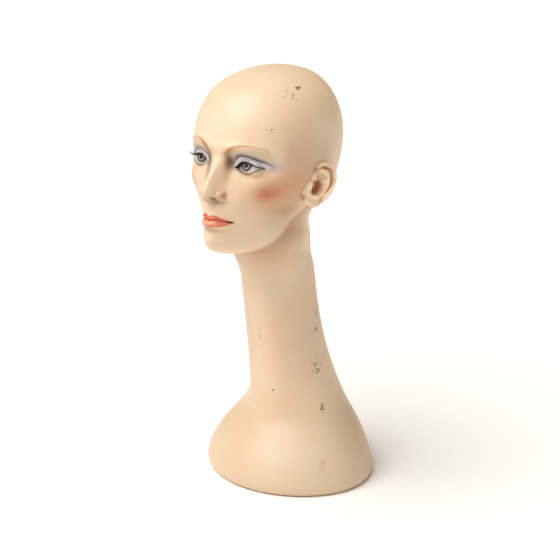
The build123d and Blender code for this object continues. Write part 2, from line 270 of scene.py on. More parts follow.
# the angle at which each level crosses the shells' joint; zero where the level lies wholly behind it
def partingAngle(level):
    angle = np.linspace(0, np.pi, 721)
    points = formPoints(level, np.broadcast_to(angle, (len(level), len(angle))))
    behind = points[..., 1] + points[..., 2] * tan(radians(form["partingLean"]))
    first = np.argmax(behind > 0, axis=1)
    rows = np.arange(len(level))
    before = np.clip(first - 1, 0, None)
    low, high = behind[rows, before], behind[rows, first]
    share = np.where(first > 0, -low / np.where(high == low, 1, high - low), 0)
    return np.interp(first - 1 + share, np.arange(len(angle)), angle) * (first > 0)


# the skin of the shells at each level and angle: the smooth form, moved forward to the face where it faces front
def skinPoints(level, angle):
    smooth = formPoints(level, angle)
    x, forward, up = toHead(smooth)
    facing = step(forward, 30, 62) * step(level[:, None], 4, 7) * step(-level[:, None], -18.4, -16.5)
    forward = forward + facing * (faceForward(x, forward, up) - forward)
    return np.where(level[:, None, None] < headCount + 1, toWorld(x, forward, up), smooth)


# a mesh of points given in mm, with its faces, as a piece at the origin
def makeMesh(name, points, faces):
    mesh = bpy.data.meshes.new(name)
    mesh.from_pydata((points.reshape(-1, 3) * mm).tolist(), [], faces)
    mesh.shade_smooth()
    piece = bpy.data.objects.new(name, mesh)
    bpy.context.collection.objects.link(piece)
    return piece


# quads of a grid of so many lines and columns, counted from a first vertex
def gridFaces(lines, columns, first=0, flip=False):
    index = first + np.arange(lines * columns).reshape(lines, columns)
    quads = np.stack([index[:-1, :-1], index[1:, :-1], index[1:, 1:], index[:-1, 1:]], -1).reshape(-1, 4)
    return (quads[:, ::-1] if flip else quads).tolist()


# painted fields: numbers above zero lie inside the painted shape, in mm
def paintFields(points):
    x, forward, up = toHead(points)
    side = np.abs(x)
    ahead = (forward > 38) & (up > -100) & (up < 60)
    upper, lower, opening = eyeFields(side, up)
    inEye = np.minimum(side - eye["lineEnds"][0], eye["lineEnds"][1] - side)
    crease = belowCurve(eye["crease"], side, up)
    brow = belowCurve(eye["brow"], side, up)
    line, upperLip, lowerLip = lipEdges(x)
    browHalf = eye["browHalf"] * (0.3 + 0.7 * step(side, 8, 15) * step(-side, -36, -16)) - 0.2 * step(side, 34, 54)
    lidHalf = 0.65 + 0.55 * step(side, 18, 25) - 0.55 * step(side, 33, 41)
    creaseHalf = 1.15 * step(side, 15.5, 21) * step(-side, -50, -41) - 0.7
    lips = np.minimum(np.minimum(upperLip - up, up - lowerLip), mouth["half"] - side)
    fields = dict(
        opening=opening,
        lidLine=np.minimum(lidHalf - np.abs(upper + 0.35 - lidHalf * 0.4), inEye + 0.6),
        lowLine=np.minimum(0.55 - np.abs(lower + 0.5), np.minimum(side - 19, 43.5 - side)),
        creaseLine=creaseHalf - np.abs(crease) * 0.8,
        browLine=np.minimum(browHalf - np.abs(brow), np.minimum(side - 8.0, 50.5 - side)),
        lips=lips,
        lipEdge=np.minimum(lips, np.where(up > line, 2.6, 1.0) - lips),
        # painted highlight across the middle of the lower lip
        lipHighlight=np.minimum(1.7 - np.abs(up - line + 3.4), 8 - np.abs(x - 1)),
        mouthLine=np.minimum(0.3 - np.abs(up - line), 18 - side),
        # painted shade at the corners of the mouth
        corner=np.minimum(1.5 * step(side, 12, 16.5) - 0.5 - np.abs(up - line + 0.1), 19.4 - side),
    )
    fields = {name: np.where(ahead, field, -9.0) for name, field in fields.items()}
    fields["irisAcross"] = np.where(ahead, side - eye["irisSide"], 30.0)
    fields["irisUp"] = np.where(ahead, up - eye["irisUp"], 30.0)
    return fields


# sRGB hex to linear: value over 12.92 near black, else a power of 2.4
def linear(hexColour):
    value = np.array([int(hexColour[k : k + 2], 16) for k in (1, 3, 5)]) / 255
    return np.where(value <= 0.04045, value / 12.92, ((value + 0.055) / 1.055) ** 2.4)


# airbrushed make-up colours, and the colours of painted shade
airbrushAndShadeColours = dict(
    blush="#c46a45", blushWide="#d19468", contourAndShade="#b0835a", noseShade="#8c6840", inner="#54402b",
    lidWhite="#dcd6de", lidMauve="#7b6880", underBrow="#c8b592", wing="#ab9cb0", earRed="#a9502e",
    earBowl="#ab6433", nostrilShade="#54381a", underEyeShade="#94674a", cornerShade="#8f7050", wingRed="#b9714c",
    cheekPeach="#f0b48c", baseShade="#a08c70",
)
# the jaw's lower edge, from below the ear to the chin, where the painted shade under the jaw begins: forward and
# height in mm
jawEdge = [(52, 352), (66, 333), (82, 318.5), (100, 309), (120, 305)]


# soft airbrushed tints laid one over another, make-up and painted shade: each is a bell or a band with its own
# strength
def airbrushAndShade(points):
    x, forward, up = toHead(points)
    side = np.abs(x)
    front = step(forward, 20, 40)
    crease = throughKnots(eye["crease"], side)
    upper, lower = throughKnots(eye["upperEdge"], side), throughKnots(eye["lowerEdge"], side)
    brow = throughKnots(eye["brow"], side)
    along = step(side, 15, 19) * step(-side, -52, -46)
    lid = step(up - upper, -0.6, 0.5) * step(crease - up, -0.4, 1.4) * along
    between = step(up - crease, -0.5, 1.5) * step(brow - up, 0.0, 2.5) * step(side, 10, 16) * step(-side, -60, -46)
    # the blush runs from the hollow of the cheek up towards the temple
    slant = radians(46)
    ahead, above = side - 47.5, up + 23
    alongBlush, acrossBlush = ahead * cos(slant) + above * sin(slant), above * cos(slant) - ahead * sin(slant)
    temple = step(forward, -50, 0) * step(-forward, -62, -40)
    # how far below the edge of the jaw, for the painted shade under it
    drop = throughKnots(jawEdge, -points[..., 1]) - points[..., 2]
    layers = [
        # the jaw's sides and the temples darkened: part make-up contour, part painted shade
        ("contourAndShade", 0.9 * bump(side - 56, 17) * bump(up + 44, 19) * step(forward, -20, 20)),
        ("contourAndShade", 0.45 * bump(side - 68, 15) * bump(up - 14, 34) * temple),
        ("cheekPeach", 0.4 * bump(side - 44, 16) * bump(up + 20, 14) * front),
        ("blushWide", 0.7 * bump(alongBlush - 14, 26) * bump(acrossBlush + 1, 13) * step(forward, -5, 25)),
        ("blush", 0.8 * bump(alongBlush - 1, 10) * bump(acrossBlush, 6) * front),
        ("underBrow", 0.6 * between * front),
        # painted shade beside the bridge of the nose
        ("noseShade", 0.9 * bump(side - 12.5, 5.0) * bump(up - 7, 11) * front),
        # painted shade beside the nose, below the inner corner of each eye
        ("underEyeShade", 0.45 * bump(side - 11.5, 4.5) * bump(up + 8, 13) * front),
        # painted shade in the inner corner of each eye socket
        ("inner", 0.8 * bump(side - 13.5, 3.8) * bump(up - 8, 6.5) * front),
        # painted shade under the inner end of each brow
        ("noseShade", 0.5 * bump(up - brow + 2.5, 2.2) * bump(side - 16, 7) * front),
        ("wing", 0.75 * bump(side - 51, 6.5) * bump(up - 8, 5.0) * front),
        ("lidMauve", 0.85 * bump(up - crease - 0.8, 2.8) * along * front),
        ("lidWhite", 0.85 * lid * front),
        # painted shade just below the lower lid's edge
        ("underEyeShade", 0.75 * bump(side - 31, 10) * bump(up - lower + 2.0, 1.6) * front),
        # painted shade down the lower sides of the nose
        ("noseShade", 0.4 * bump(side - 12, 4) * bump(up + 30, 6) * front),
        ("wingRed", 0.8 * bump(side - 14.6, 1.3) * bump(up + 28, 4.5) * front),
        # painted shade in the nostrils
        ("nostrilShade", 0.95 * bump(side - 5.6, 3.2) * bump(up + 33.2, 2.2) * step(forward, 60, 80)),
        # painted shade under the nose
        ("noseShade", 0.4 * bump(x, 13) * bump(up + 37, 2.6) * front),
        ("cornerShade", 0.55 * bump(x, 13) * bump(up + 67.5, 2.4) * front),
        # painted shade under the edge of the jaw, fading down the neck, and down the sides of the neck
        ("contourAndShade", 0.75 * step(drop, -1, 7) * bump(np.maximum(drop, 0), 58) * step(-points[..., 1], 22, 50)),
        ("contourAndShade", 0.27 * step(side, 0, 30) * bump(points[..., 2] - 190, 75)),
        ("baseShade", 0.26 * step(-points[..., 2], -105, -60)),
    ]
    colour = np.zeros(points.shape[:-1] + (3,))
    amount = np.zeros(points.shape[:-1])
    for name, mask in layers:
        mask = np.clip(mask, 0, 1)
        total = mask + amount * (1 - mask)
        share = np.where(total > 1e-6, mask / np.maximum(total, 1e-6), 0)[..., None]
        colour = colour * (1 - share) + linear(airbrushAndShadeColours[name]) * share
        amount = total
    return np.concatenate([colour, amount[..., None]], -1)


# the painted fields and the airbrushed colour of make-up and painted shade, kept on the mesh for its material to
# read
def setPaint(piece, points, tint=None):
    mesh = piece.data
    flat = points.reshape(-1, 3)
    for name, field in paintFields(flat).items():
        mesh.attributes.new(name, "FLOAT", "POINT").data.foreach_set("value", field.astype(np.float32))
    colour = airbrushAndShade(flat) if tint is None else tint.reshape(-1, 4)
    spray = mesh.attributes.new("airbrushAndShade", "FLOAT_COLOR", "POINT")
    spray.data.foreach_set("color", colour.astype(np.float32).ravel())


# doubles merged, strays dropped, faces turned outwards, and only the walls' edges kept sharp
def closeMesh(piece, sharp=75):
    work = bmesh.new()
    work.from_mesh(piece.data)
    bmesh.ops.remove_doubles(work, verts=work.verts, dist=2e-6)
    bmesh.ops.dissolve_degenerate(work, edges=work.edges, dist=1e-7)
    bmesh.ops.recalc_face_normals(work, faces=work.faces)
    work.to_mesh(piece.data)
    work.free()
    piece.data.shade_smooth()
    piece.data.set_sharp_from_angle(angle=radians(sharp))


# shells
# the inner face: the same rows drawn in by the wall, and cut deeper behind sockets and chin groove
def innerPoints(level, angle):
    wall = form["wall"]
    drop = np.interp(np.arange(rowCount), [0, 3, 7, 15, 16, 18, 20], [wall, 2.4, 0, 0, -2, -2, 0])
    inner = rowTable.copy()
    inner[:, 3] = np.maximum(inner[:, 3] - wall, 0)
    inner[1:, 4] -= wall
    inner[1:, 5] += wall
    inner[:headCount, :3] -= drop[:headCount, None]
    points = formPoints(level, angle, inner)
    x, forward, up = toHead(points)
    facing = step(forward, 25, 58) * step(level[:, None], 4, 7) * step(-level[:, None], -18.4, -16.5)
    deep = 11.5 * bump(np.abs(x) - 32, 19) * bump(up - 6, 14) + 4 * bump(x, 22) * bump(up + 71, 10)
    forward = forward - facing * (1.5 + deep + 2.5 * bump(np.abs(x) - 40, 16) * bump(up + 46, 16))
    return np.where(level[:, None, None] < headCount + 1, toWorld(x, forward, up), points)


# one shell: its outer grid, a coarser inner grid, and walls between them along the joint and the foot
def shell(name, level, angle, parted, columnStep):
    lines, columns = angle.shape
    outer = skinPoints(level, angle)
    rows = np.unique(np.concatenate([np.arange(0, lines, 4), [parted, lines - 1]]))
    sides = np.unique(np.concatenate([np.arange(0, columns, columnStep), [columns - 1]]))
    inner = innerPoints(level[rows], angle[rows][:, sides])
    outerIndex = np.arange(lines * columns).reshape(lines, columns)
    innerIndex = lines * columns + np.arange(len(rows) * len(sides)).reshape(len(rows), len(sides))
    faces = gridFaces(lines, columns) + gridFaces(len(rows), len(sides), lines * columns, flip=True)
    for outerEdge, innerEdge, places in (
        (outerIndex[:, 0], innerIndex[:, 0], rows),
        (outerIndex[:, -1], innerIndex[:, -1], rows),
        (outerIndex[-1], innerIndex[-1], sides),
    ):
        first = parted if places is rows else 0
        for k in range(len(places) - 1):
            if places[k] >= first:
                run = outerEdge[places[k] : places[k + 1] + 1].tolist()
                faces.append(run + [int(innerEdge[k + 1]), int(innerEdge[k])])
    points = np.concatenate([outer.reshape(-1, 3), inner.reshape(-1, 3)])
    piece = makeMesh(name, points, faces)
    setPaint(piece, points)
    closeMesh(piece)
    return piece


# columns across the face: a line plus a fifth power, so fine over the features and wider towards the joint
def faceColumns():
    place = np.linspace(-1, 1, 225)
    return 0.62 * place + 0.38 * place * np.abs(place) ** 4


level = gridLevels()
joint = partingAngle(level)
parted = int(np.argmax(joint > 0)) - 1
frontAngle = joint[:, None] * faceColumns()[None]
rearAngle = np.pi + (np.pi - joint)[:, None] * np.linspace(-1, 1, 81)[None]
frontShell = shell("frontShell", level[parted:], frontAngle[parted:], 0, 6)
rearShell = shell("rearShell", level, rearAngle, parted, 5)
print("shells", len(frontShell.data.polygons), len(rearShell.data.polygons))


# ears
ear = dict(
    height=52.0, forward=6.0, up=-6.0, out=66.0,  # size in mm and where the front edge sits
    standOff=28.0, lean=16.0,  # degrees
    rimRadius=2.6, rimRise=3.6, bowlDepth=8.0,
)


# distance in mm from each point to a smooth path through a few places
def pathDistance(p, q, path):
    knots = np.array(path, float)
    t = np.linspace(0, len(knots) - 1, 40)
    line = np.stack([np.interp(t, np.arange(len(knots)), knots[:, k]) for k in (0, 1)], -1)
    line[1:-1] = (line[:-2] + 2 * line[1:-1] + line[2:]) / 4
    return np.sqrt((p[..., None] - line[:, 0]) ** 2 + (q[..., None] - line[:, 1]) ** 2).min(-1)


# relief of the ear over its own plane: p runs back from the front edge, q up, d in from the rim
def earRelief(p, q, d, turn):
    rim = step(turn, -60, -25) * step(-turn, -172, -150)
    relief = 3.2 + 0.10 * p
    relief += ear["rimRise"] * bump(d - ear["rimRadius"], 2.3) * rim
    relief -= 2.6 * bump(d - 6.2, 1.5) * step(turn, -50, -15) * step(-turn, -140, -95)
    fold = [(14, -14), (20.5, -9), (22.5, 0), (21, 8), (17, 13), (12, 16)]
    relief += 2.8 * bump(pathDistance(p, q, fold), 2.5)
    relief += 1.4 * bump(pathDistance(p, q, [(21, 6), (20, 13), (17, 19)]), 2.2)
    bowl = ((p - 12.0) / 8.6) ** 2 + ((q + 3.5) / 10.5) ** 2
    relief -= ear["bowlDepth"] * step(1 - bowl, -0.1, 0.75)
    upperBowl = ((p - 13.5) / 7.0) ** 2 + ((q - 7.0) / 5.0) ** 2
    relief -= 4.5 * step(1 - upperBowl, -0.1, 0.8)
    relief += 3.4 * bump(pathDistance(p, q, [(4, 13), (4.2, 7), (7.5, 2.5), (13, 1.2)]), 1.9)
    relief += 4.0 * np.exp(-(((p - 3.6) / 2.7) ** 2) - ((q + 5.5) / 4.4) ** 2)
    relief += 2.8 * np.exp(-(((p - 13.0) / 4.2) ** 2) - ((q + 15.2) / 2.4) ** 2)
    relief += 1.6 * np.exp(-(((p - 8.0) / 6.0) ** 2) - ((q + 22) / 4.0) ** 2)
    relief -= 1.4 * bump(pathDistance(p, q, [(-1, -15.5), (5, -18.6), (12, -18.4), (19, -13.5)]), 1.5)
    relief -= 1.2 * bump(p, 4) * step(turn, 120, 150)
    return relief


# the ear as one closed sheet: over the front from the middle to the rim, round the rim, and back behind to its root
def earGrid():
    turn = np.linspace(-180, 180, 241)[None]
    reach = np.concatenate([np.linspace(0, 1, 64), np.linspace(1, 0.5, 14)[1:], np.full(3, 0.42)])[:, None]
    behind = np.concatenate([np.zeros(64), np.linspace(0.1, 1, 13), [1.6, 2.6, 3.4]])[:, None]
    angle = np.radians(turn)
    half = ear["height"] / 2
    rimP = 15 + 15.2 * np.cos(angle) * (1 + 0.14 * np.sin(angle)) + 2.6 * np.sin(angle)
    rimP = rimP - 5.5 * bump(turn + 138, 34) - 3.5 * bump(turn - 140, 30)
    rimQ = half * np.sin(angle) * (1 - 0.03 * np.cos(angle))
    p, q = 12.5 + (rimP - 12.5) * reach, -2.5 + (rimQ + 2.5) * reach
    d = (1 - reach) * np.hypot(rimP - 12.5, rimQ + 2.5)
    front = earRelief(p, q, d, np.broadcast_to(turn, p.shape))
    edge = step(reach, 0.90, 1.0)
    front = front - 2.6 * edge**2
    rimHeight = front[63:64]
    back = rimHeight - 1.0 - 5.5 * np.minimum(behind, 1) ** 0.6 - 8 * np.clip(behind - 1, 0, None)
    height = np.where(behind == 0, front, back)
    return p, q, height


# ear plane to object frame, for the left ear: stood off from the head, leaned back, moved to its root
def earToWorld(p, q, height):
    out, tilt = radians(ear["standOff"]), radians(-form["headTilt"] - ear["lean"])
    local = (
        p[..., None] * np.array([sin(out), cos(out), 0])
        + q[..., None] * np.array([0, 0, 1])
        + height[..., None] * np.array([cos(out), -sin(out), 0])
    )
    turned = np.stack([
        local[..., 0],
        local[..., 1] * cos(tilt) - local[..., 2] * sin(tilt),
        local[..., 1] * sin(tilt) + local[..., 2] * cos(tilt),
    ], -1)
    return turned + toWorld(np.array(ear["out"]), np.array(ear["forward"]), np.array(ear["up"]))


# one ear, mirrored across the middle for the right side, with its bowl and lobe tinted and painted shade in its
# groove
def makeEar(name, mirror):
    p, q, height = earGrid()
    points = earToWorld(p, q, height) * np.array([mirror, 1, 1])
    bowl = step(1 - ((p - 12.0) / 8.2) ** 2 - ((q + 3.0) / 10.0) ** 2, 0.0, 0.8) * (height > -12)
    red = 0.9 * np.exp(-(((p - 1.5) / 2.6) ** 2) - ((q - 13.5) / 5.0) ** 2)
    red += 0.85 * np.exp(-(((p + 1.5) / 2.6) ** 2) - ((q + 20) / 4.5) ** 2)
    # painted shade in the groove inside the rim, in the bowl's colour
    crescent = bump(pathDistance(p, q, [(11, 19), (20, 18.5), (25.5, 10), (25.5, 0)]), 1.6)
    groove = 0.8 * crescent * step(q, -2, 12) * step(p, 8, 15)
    tint = np.zeros(p.shape + (4,))
    total = np.clip(0.95 * bowl + red + groove, 0, 0.95)
    share = np.clip(red / np.maximum(red + bowl + groove, 1e-6), 0, 1)[..., None]
    tint[..., :3] = linear(airbrushAndShadeColours["earBowl"]) * (1 - share) + linear(airbrushAndShadeColours["earRed"]) * share
    tint[..., 3] = total
    piece = makeMesh(name, points, gridFaces(*p.shape))
    setPaint(piece, points, tint)
    closeMesh(piece, 85)
    return piece


leftEar = makeEar("leftEar", 1)
rightEar = makeEar("rightEar", -1)
print("ears", len(leftEar.data.polygons))

# stuck-on upper lashes
lash = dict(
    count=72, length=9.0, thick=0.14, seed=4,  # mm
    fibreStart=20.5, fibreSpan=23.0,  # along the lid, from the middle of the face outwards
    bandHalf=0.35, bandEnds=(19.5, 42.8), bandSteps=70,
)


# the upper lid's edge: side, the ball's face plus the lid forward, and the edge's height
def lidEdge(side):
    up = throughKnots(eye["upperEdge"], side) + 0.15
    ball = eyeBall(side, up)[1]
    return np.stack([side, ball + eye["lid"] + 0.3, up], -1)


# a tapered round section of so many sides carried along each of many paths at once
def tubes(paths, radii, sides):
    along = np.gradient(paths, axis=1)
    along /= np.linalg.norm(along, axis=-1, keepdims=True)
    across = np.cross(along, np.array([0.3, 0.2, 1.0]))
    across /= np.linalg.norm(across, axis=-1, keepdims=True)
    other = np.cross(along, across)
    turn = np.linspace(0, 2 * np.pi, sides, endpoint=False)
    ring = across[:, :, None] * np.cos(turn)[:, None] + other[:, :, None] * np.sin(turn)[:, None]
    points = paths[:, :, None] + ring * radii[..., None, None]
    count, steps = paths.shape[:2]
    index = np.arange(count * steps * sides).reshape(count, steps, sides)
    beside = np.roll(index, -1, 2)
    quads = np.stack([index[:, :-1], beside[:, :-1], beside[:, 1:], index[:, 1:]], -1).reshape(-1, 4).tolist()
    caps = index[:, 0, ::-1].tolist() + index[:, -1].tolist()
    return points.reshape(-1, 3), quads + caps


# fibres rooted on the lid's edge, fanning outwards and curling up as the square of distance, and their band
def makeLashes(word, mirror):
    chance = np.random.default_rng(lash["seed"])
    share = np.linspace(0, 1, lash["count"]) + chance.uniform(-0.004, 0.004, lash["count"])
    side = lash["fibreStart"] + lash["fibreSpan"] * share
    root = lidEdge(side)
    length = lash["length"] * (0.45 + 0.55 * step(share, -0.1, 0.8)) * chance.uniform(0.85, 1.08, lash["count"])
    fan = radians(-14) + radians(70) * share**1.2 + chance.normal(0, 0.06, lash["count"])
    t = np.linspace(0, 1, 7)[None]
    reach, lift = length[:, None] * (t - 0.15 * t**2), length[:, None] * (-0.06 * t + 0.4 * t**2)
    paths = np.stack([
        root[:, 0:1] + reach * np.sin(fan)[:, None],
        root[:, 1:2] + reach * np.cos(fan)[:, None],
        root[:, 2:3] + lift,
    ], -1)
    paths = toWorld(paths[..., 0], paths[..., 1], paths[..., 2])
    points, faces = tubes(paths, lash["thick"] / 2 * (1 - 0.85 * t**1.5) * np.ones_like(length)[:, None], 5)
    fibres = makeMesh(word + "LashFibres", points * np.array([mirror, 1, 1]), faces)
    edge = lidEdge(np.linspace(*lash["bandEnds"], lash["bandSteps"]))
    path = toWorld(edge[:, 0], edge[:, 1], edge[:, 2] - 0.1)[None]
    points, faces = tubes(path, np.full((1, lash["bandSteps"]), lash["bandHalf"]), 8)
    band = makeMesh(word + "LashBand", points * np.array([mirror, 1, 1]), faces)
    for piece in (fibres, band):
        closeMesh(piece, 60)
    return fibres, band


leftLashes, rightLashes = makeLashes("left", 1), makeLashes("right", -1)
print("lashes", len(leftLashes[0].data.polygons))


# materials
# one node with its settings and links: a key that is an input's name or number sets that input,
# and any other key sets the node
def addNode(tree, kind, settings=None, links=None):
    node = tree.nodes.new("ShaderNode" + kind)
    for key, value in (settings or {}).items():
        if isinstance(key, int) or key in node.inputs:
            node.inputs[key].default_value = value
        else:
            setattr(node, key, value)
    for key, source in (links or {}).items():
        tree.links.new(source, node.inputs[key])
    return node


# a material, its tree and its shader, with uniform values set on the shader itself
def newMaterial(name, **surface):
    material = bpy.data.materials.new(name)
    material.use_nodes = True
    tree = material.node_tree
    shader = tree.nodes["Principled BSDF"]
    for key, value in surface.items():
        shader.inputs[key].default_value = value
    return material, tree, shader


# hex colour as linear red, green, blue and full cover
def colourOf(hexColour):
    return (*linear(hexColour), 1.0)


# satin paint over glass-fibre laminate: colours, and how each lined or brushed feature, painted shade and painted
# highlight is laid on
skinPaint = dict(
    base="#efd4b4", light="#f5e0c6", warm="#e5c09a",
    # field, soft edge in mm, strength, colour
    masks=[("browLine", 0.7, 0.9, None), ("opening", 0.22, 1.0, None)],
    features=[
        # lips and their edges, and a painted highlight across the middle of the lower lip
        ("lips", 0.45, 1.0, "#e98a6c"), ("lipEdge", 0.7, 0.85, "#d9583f"), ("lipHighlight", 1.4, 0.65, "#f6bfa0"),
        # the line between the lips, and painted shade at the mouth's corners
        ("mouthLine", 0.45, 0.9, "#8a3b27"), ("corner", 0.45, 0.95, "#46290f"),
    ],
    lines=[
        ("creaseLine", 0.5, 0.95, "#3f2938"), ("lowLine", 0.4, 0.9, "#43363c"), ("lidLine", 0.3, 1.0, "#1b151b"),
    ],
    eyeWhite="#dcd9d0", browColour="#b47a32", glint="#cdc6cf",
    # share of the iris radius and colour, from the pupil outwards
    iris=[
        (0.0, "#1c151a"), (0.24, "#241b21"), (0.36, "#65565f"), (0.50, "#a99ba4"), (0.63, "#8d7d87"),
        (0.76, "#4c3d45"), (1.0, "#2b2227"),
    ],
)
# rubbed and chipped places: centre and half size in metres, noise level the marks start at, colour
wearPlaces = [
    ((0.046, -0.066, 0.470), (0.012, 0.014, 0.012), 0.50, "#b08c5e"),
    ((0.045, -0.050, 0.476), (0.004, 0.005, 0.002), 0.38, "#6b5130"),
    ((0.048, -0.105, 0.441), (0.014, 0.013, 0.011), 0.52, "#c09a70"),
    ((0.039, -0.003, 0.203), (0.007, 0.008, 0.022), 0.50, "#96795a"),
    ((0.041, -0.008, 0.183), (0.006, 0.005, 0.006), 0.46, "#806a4c"),
    ((0.044, -0.010, 0.138), (0.008, 0.012, 0.018), 0.50, "#917355"),
    ((0.052, -0.008, 0.089), (0.006, 0.006, 0.009), 0.46, "#857058"),
    ((-0.002, -0.057, 0.184), (0.003, 0.006, 0.011), 0.47, "#b39c75"),
    ((0.009, -0.046, 0.114), (0.002, 0.004, 0.002), 0.36, "#8d7c5e"),
    ((0.075, -0.042, 0.034), (0.005, 0.010, 0.030), 0.50, "#b59469"),
]


# satin cellulose paint sprayed in thin coats, with make-up airbrushed and then lined on by hand: a soft
# sheen, faint clouds where coats overlap, crisp painted lines, painted shade and highlights, small scuffs and chips
def sprayedSkin():
    gloss = {"IOR": 1.48, "Coat Weight": 0.05, "Coat Roughness": 0.3}
    material, tree, shader = newMaterial("satinPaintOnLaminate", **gloss)
    place = addNode(tree, "TexCoord").outputs["Object"]
    cloud = addNode(tree, "TexNoise", {"Scale": 14.0, "Detail": 3.0}, {"Vector": place}).outputs["Fac"]
    fine = addNode(tree, "TexNoise", {"Scale": 420.0, "Detail": 2.0}, {"Vector": place}).outputs["Fac"]
    thin = addNode(tree, "MapRange", {1: 0.42, 2: 0.66, 3: 0.0, 4: 0.35}, {0: cloud}).outputs[0]
    thick = addNode(tree, "MapRange", {1: 0.38, 2: 0.62, 3: 0.16, 4: 0.0}, {0: cloud}).outputs[0]
    coats = {"data_type": "RGBA", 6: colourOf(skinPaint["base"]), 7: colourOf(skinPaint["light"])}
    colour = addNode(tree, "Mix", coats, {0: thin}).outputs[2]
    warmCoat = {"data_type": "RGBA", 7: colourOf(skinPaint["warm"])}
    colour = addNode(tree, "Mix", warmCoat, {0: thick, 6: colour}).outputs[2]
    # the airbrushed make-up and painted shade kept on the mesh
    spray = addNode(tree, "Attribute", {"attribute_name": "airbrushAndShade"})
    tint = {0: spray.outputs["Alpha"], 6: colour, 7: spray.outputs["Color"]}
    colour = addNode(tree, "Mix", {"data_type": "RGBA"}, tint).outputs[2]

    # brows in strokes of a nearly dry brush, about 1 mm apart
    wobble = addNode(tree, "MapRange", {1: 0.3, 2: 0.7, 3: -0.12, 4: 0.12}, {0: fine}).outputs[0]
    masks = {}
    for field, soft, strength, _ in skinPaint["masks"] + skinPaint["features"] + skinPaint["lines"]:
        inside = addNode(tree, "Attribute", {"attribute_name": field}).outputs["Fac"]
        inside = addNode(tree, "Math", {"operation": "ADD"}, {0: inside, 1: wobble}).outputs[0]
        edge = {"interpolation_type": "SMOOTHSTEP", 1: -soft, 2: soft, 3: 0.0, 4: strength}
        masks[field] = addNode(tree, "MapRange", edge, {0: inside}).outputs[0]
    stroke = addNode(tree, "TexNoise", {"Scale": 900.0, "Detail": 1.0}, {"Vector": place}).outputs["Fac"]
    stroke = addNode(tree, "MapRange", {1: 0.35, 2: 0.55, 3: 0.6, 4: 1.0}, {0: stroke}).outputs[0]
    brow = addNode(tree, "Math", {"operation": "MULTIPLY"}, {0: masks["browLine"], 1: stroke}).outputs[0]
    browPaint = {"data_type": "RGBA", 7: colourOf(skinPaint["browColour"])}
    colour = addNode(tree, "Mix", browPaint, {0: brow, 6: colour}).outputs[2]
    for field, _, _, paint in skinPaint["features"]:
        layer = {"data_type": "RGBA", 7: colourOf(paint)}
        colour = addNode(tree, "Mix", layer, {0: masks[field], 6: colour}).outputs[2]

    # the eye: white, then the iris in rings from its centre, then a painted catch of light
    white = {"data_type": "RGBA", 7: colourOf(skinPaint["eyeWhite"])}
    colour = addNode(tree, "Mix", white, {0: masks["opening"], 6: colour}).outputs[2]
    across = addNode(tree, "Attribute", {"attribute_name": "irisAcross"}).outputs["Fac"]
    above = addNode(tree, "Attribute", {"attribute_name": "irisUp"}).outputs["Fac"]
    spot = addNode(tree, "CombineXYZ", {}, {"X": across, "Y": above}).outputs[0]
    radius = addNode(tree, "VectorMath", {"operation": "LENGTH"}, {0: spot}).outputs["Value"]
    share = addNode(tree, "Math", {"operation": "DIVIDE", 1: eye["irisRadius"]}, {0: radius}).outputs[0]
    rings = addNode(tree, "ValToRGB", {}, {"Fac": share})
    for position, _ in skinPaint["iris"][1:-1]:
        rings.color_ramp.elements.new(position)
    for element, (position, paint) in zip(rings.color_ramp.elements, skinPaint["iris"]):
        element.position, element.color = position, colourOf(paint)
    rim = {"interpolation_type": "SMOOTHSTEP", 1: 0.95, 2: 1.05, 3: 1.0, 4: 0.0}
    iris = addNode(tree, "MapRange", rim, {0: share}).outputs[0]
    iris = addNode(tree, "Math", {"operation": "MULTIPLY"}, {0: iris, 1: masks["opening"]}).outputs[0]
    colour = addNode(tree, "Mix", {"data_type": "RGBA"}, {0: iris, 6: colour, 7: rings.outputs["Color"]}).outputs[2]
    glint = addNode(tree, "VectorMath", {"operation": "DISTANCE", 1: (-1.0, 1.3, 0.0)}, {0: spot}).outputs["Value"]
    glint = addNode(tree, "MapRange", {1: 0.2, 2: 0.75, 3: 0.7, 4: 0.0}, {0: glint}).outputs[0]
    glow = {"data_type": "RGBA", 7: colourOf(skinPaint["glint"])}
    colour = addNode(tree, "Mix", glow, {0: glint, 6: colour}).outputs[2]
    for field, _, _, paint in skinPaint["lines"]:
        layer = {"data_type": "RGBA", 7: colourOf(paint)}
        colour = addNode(tree, "Mix", layer, {0: masks[field], 6: colour}).outputs[2]

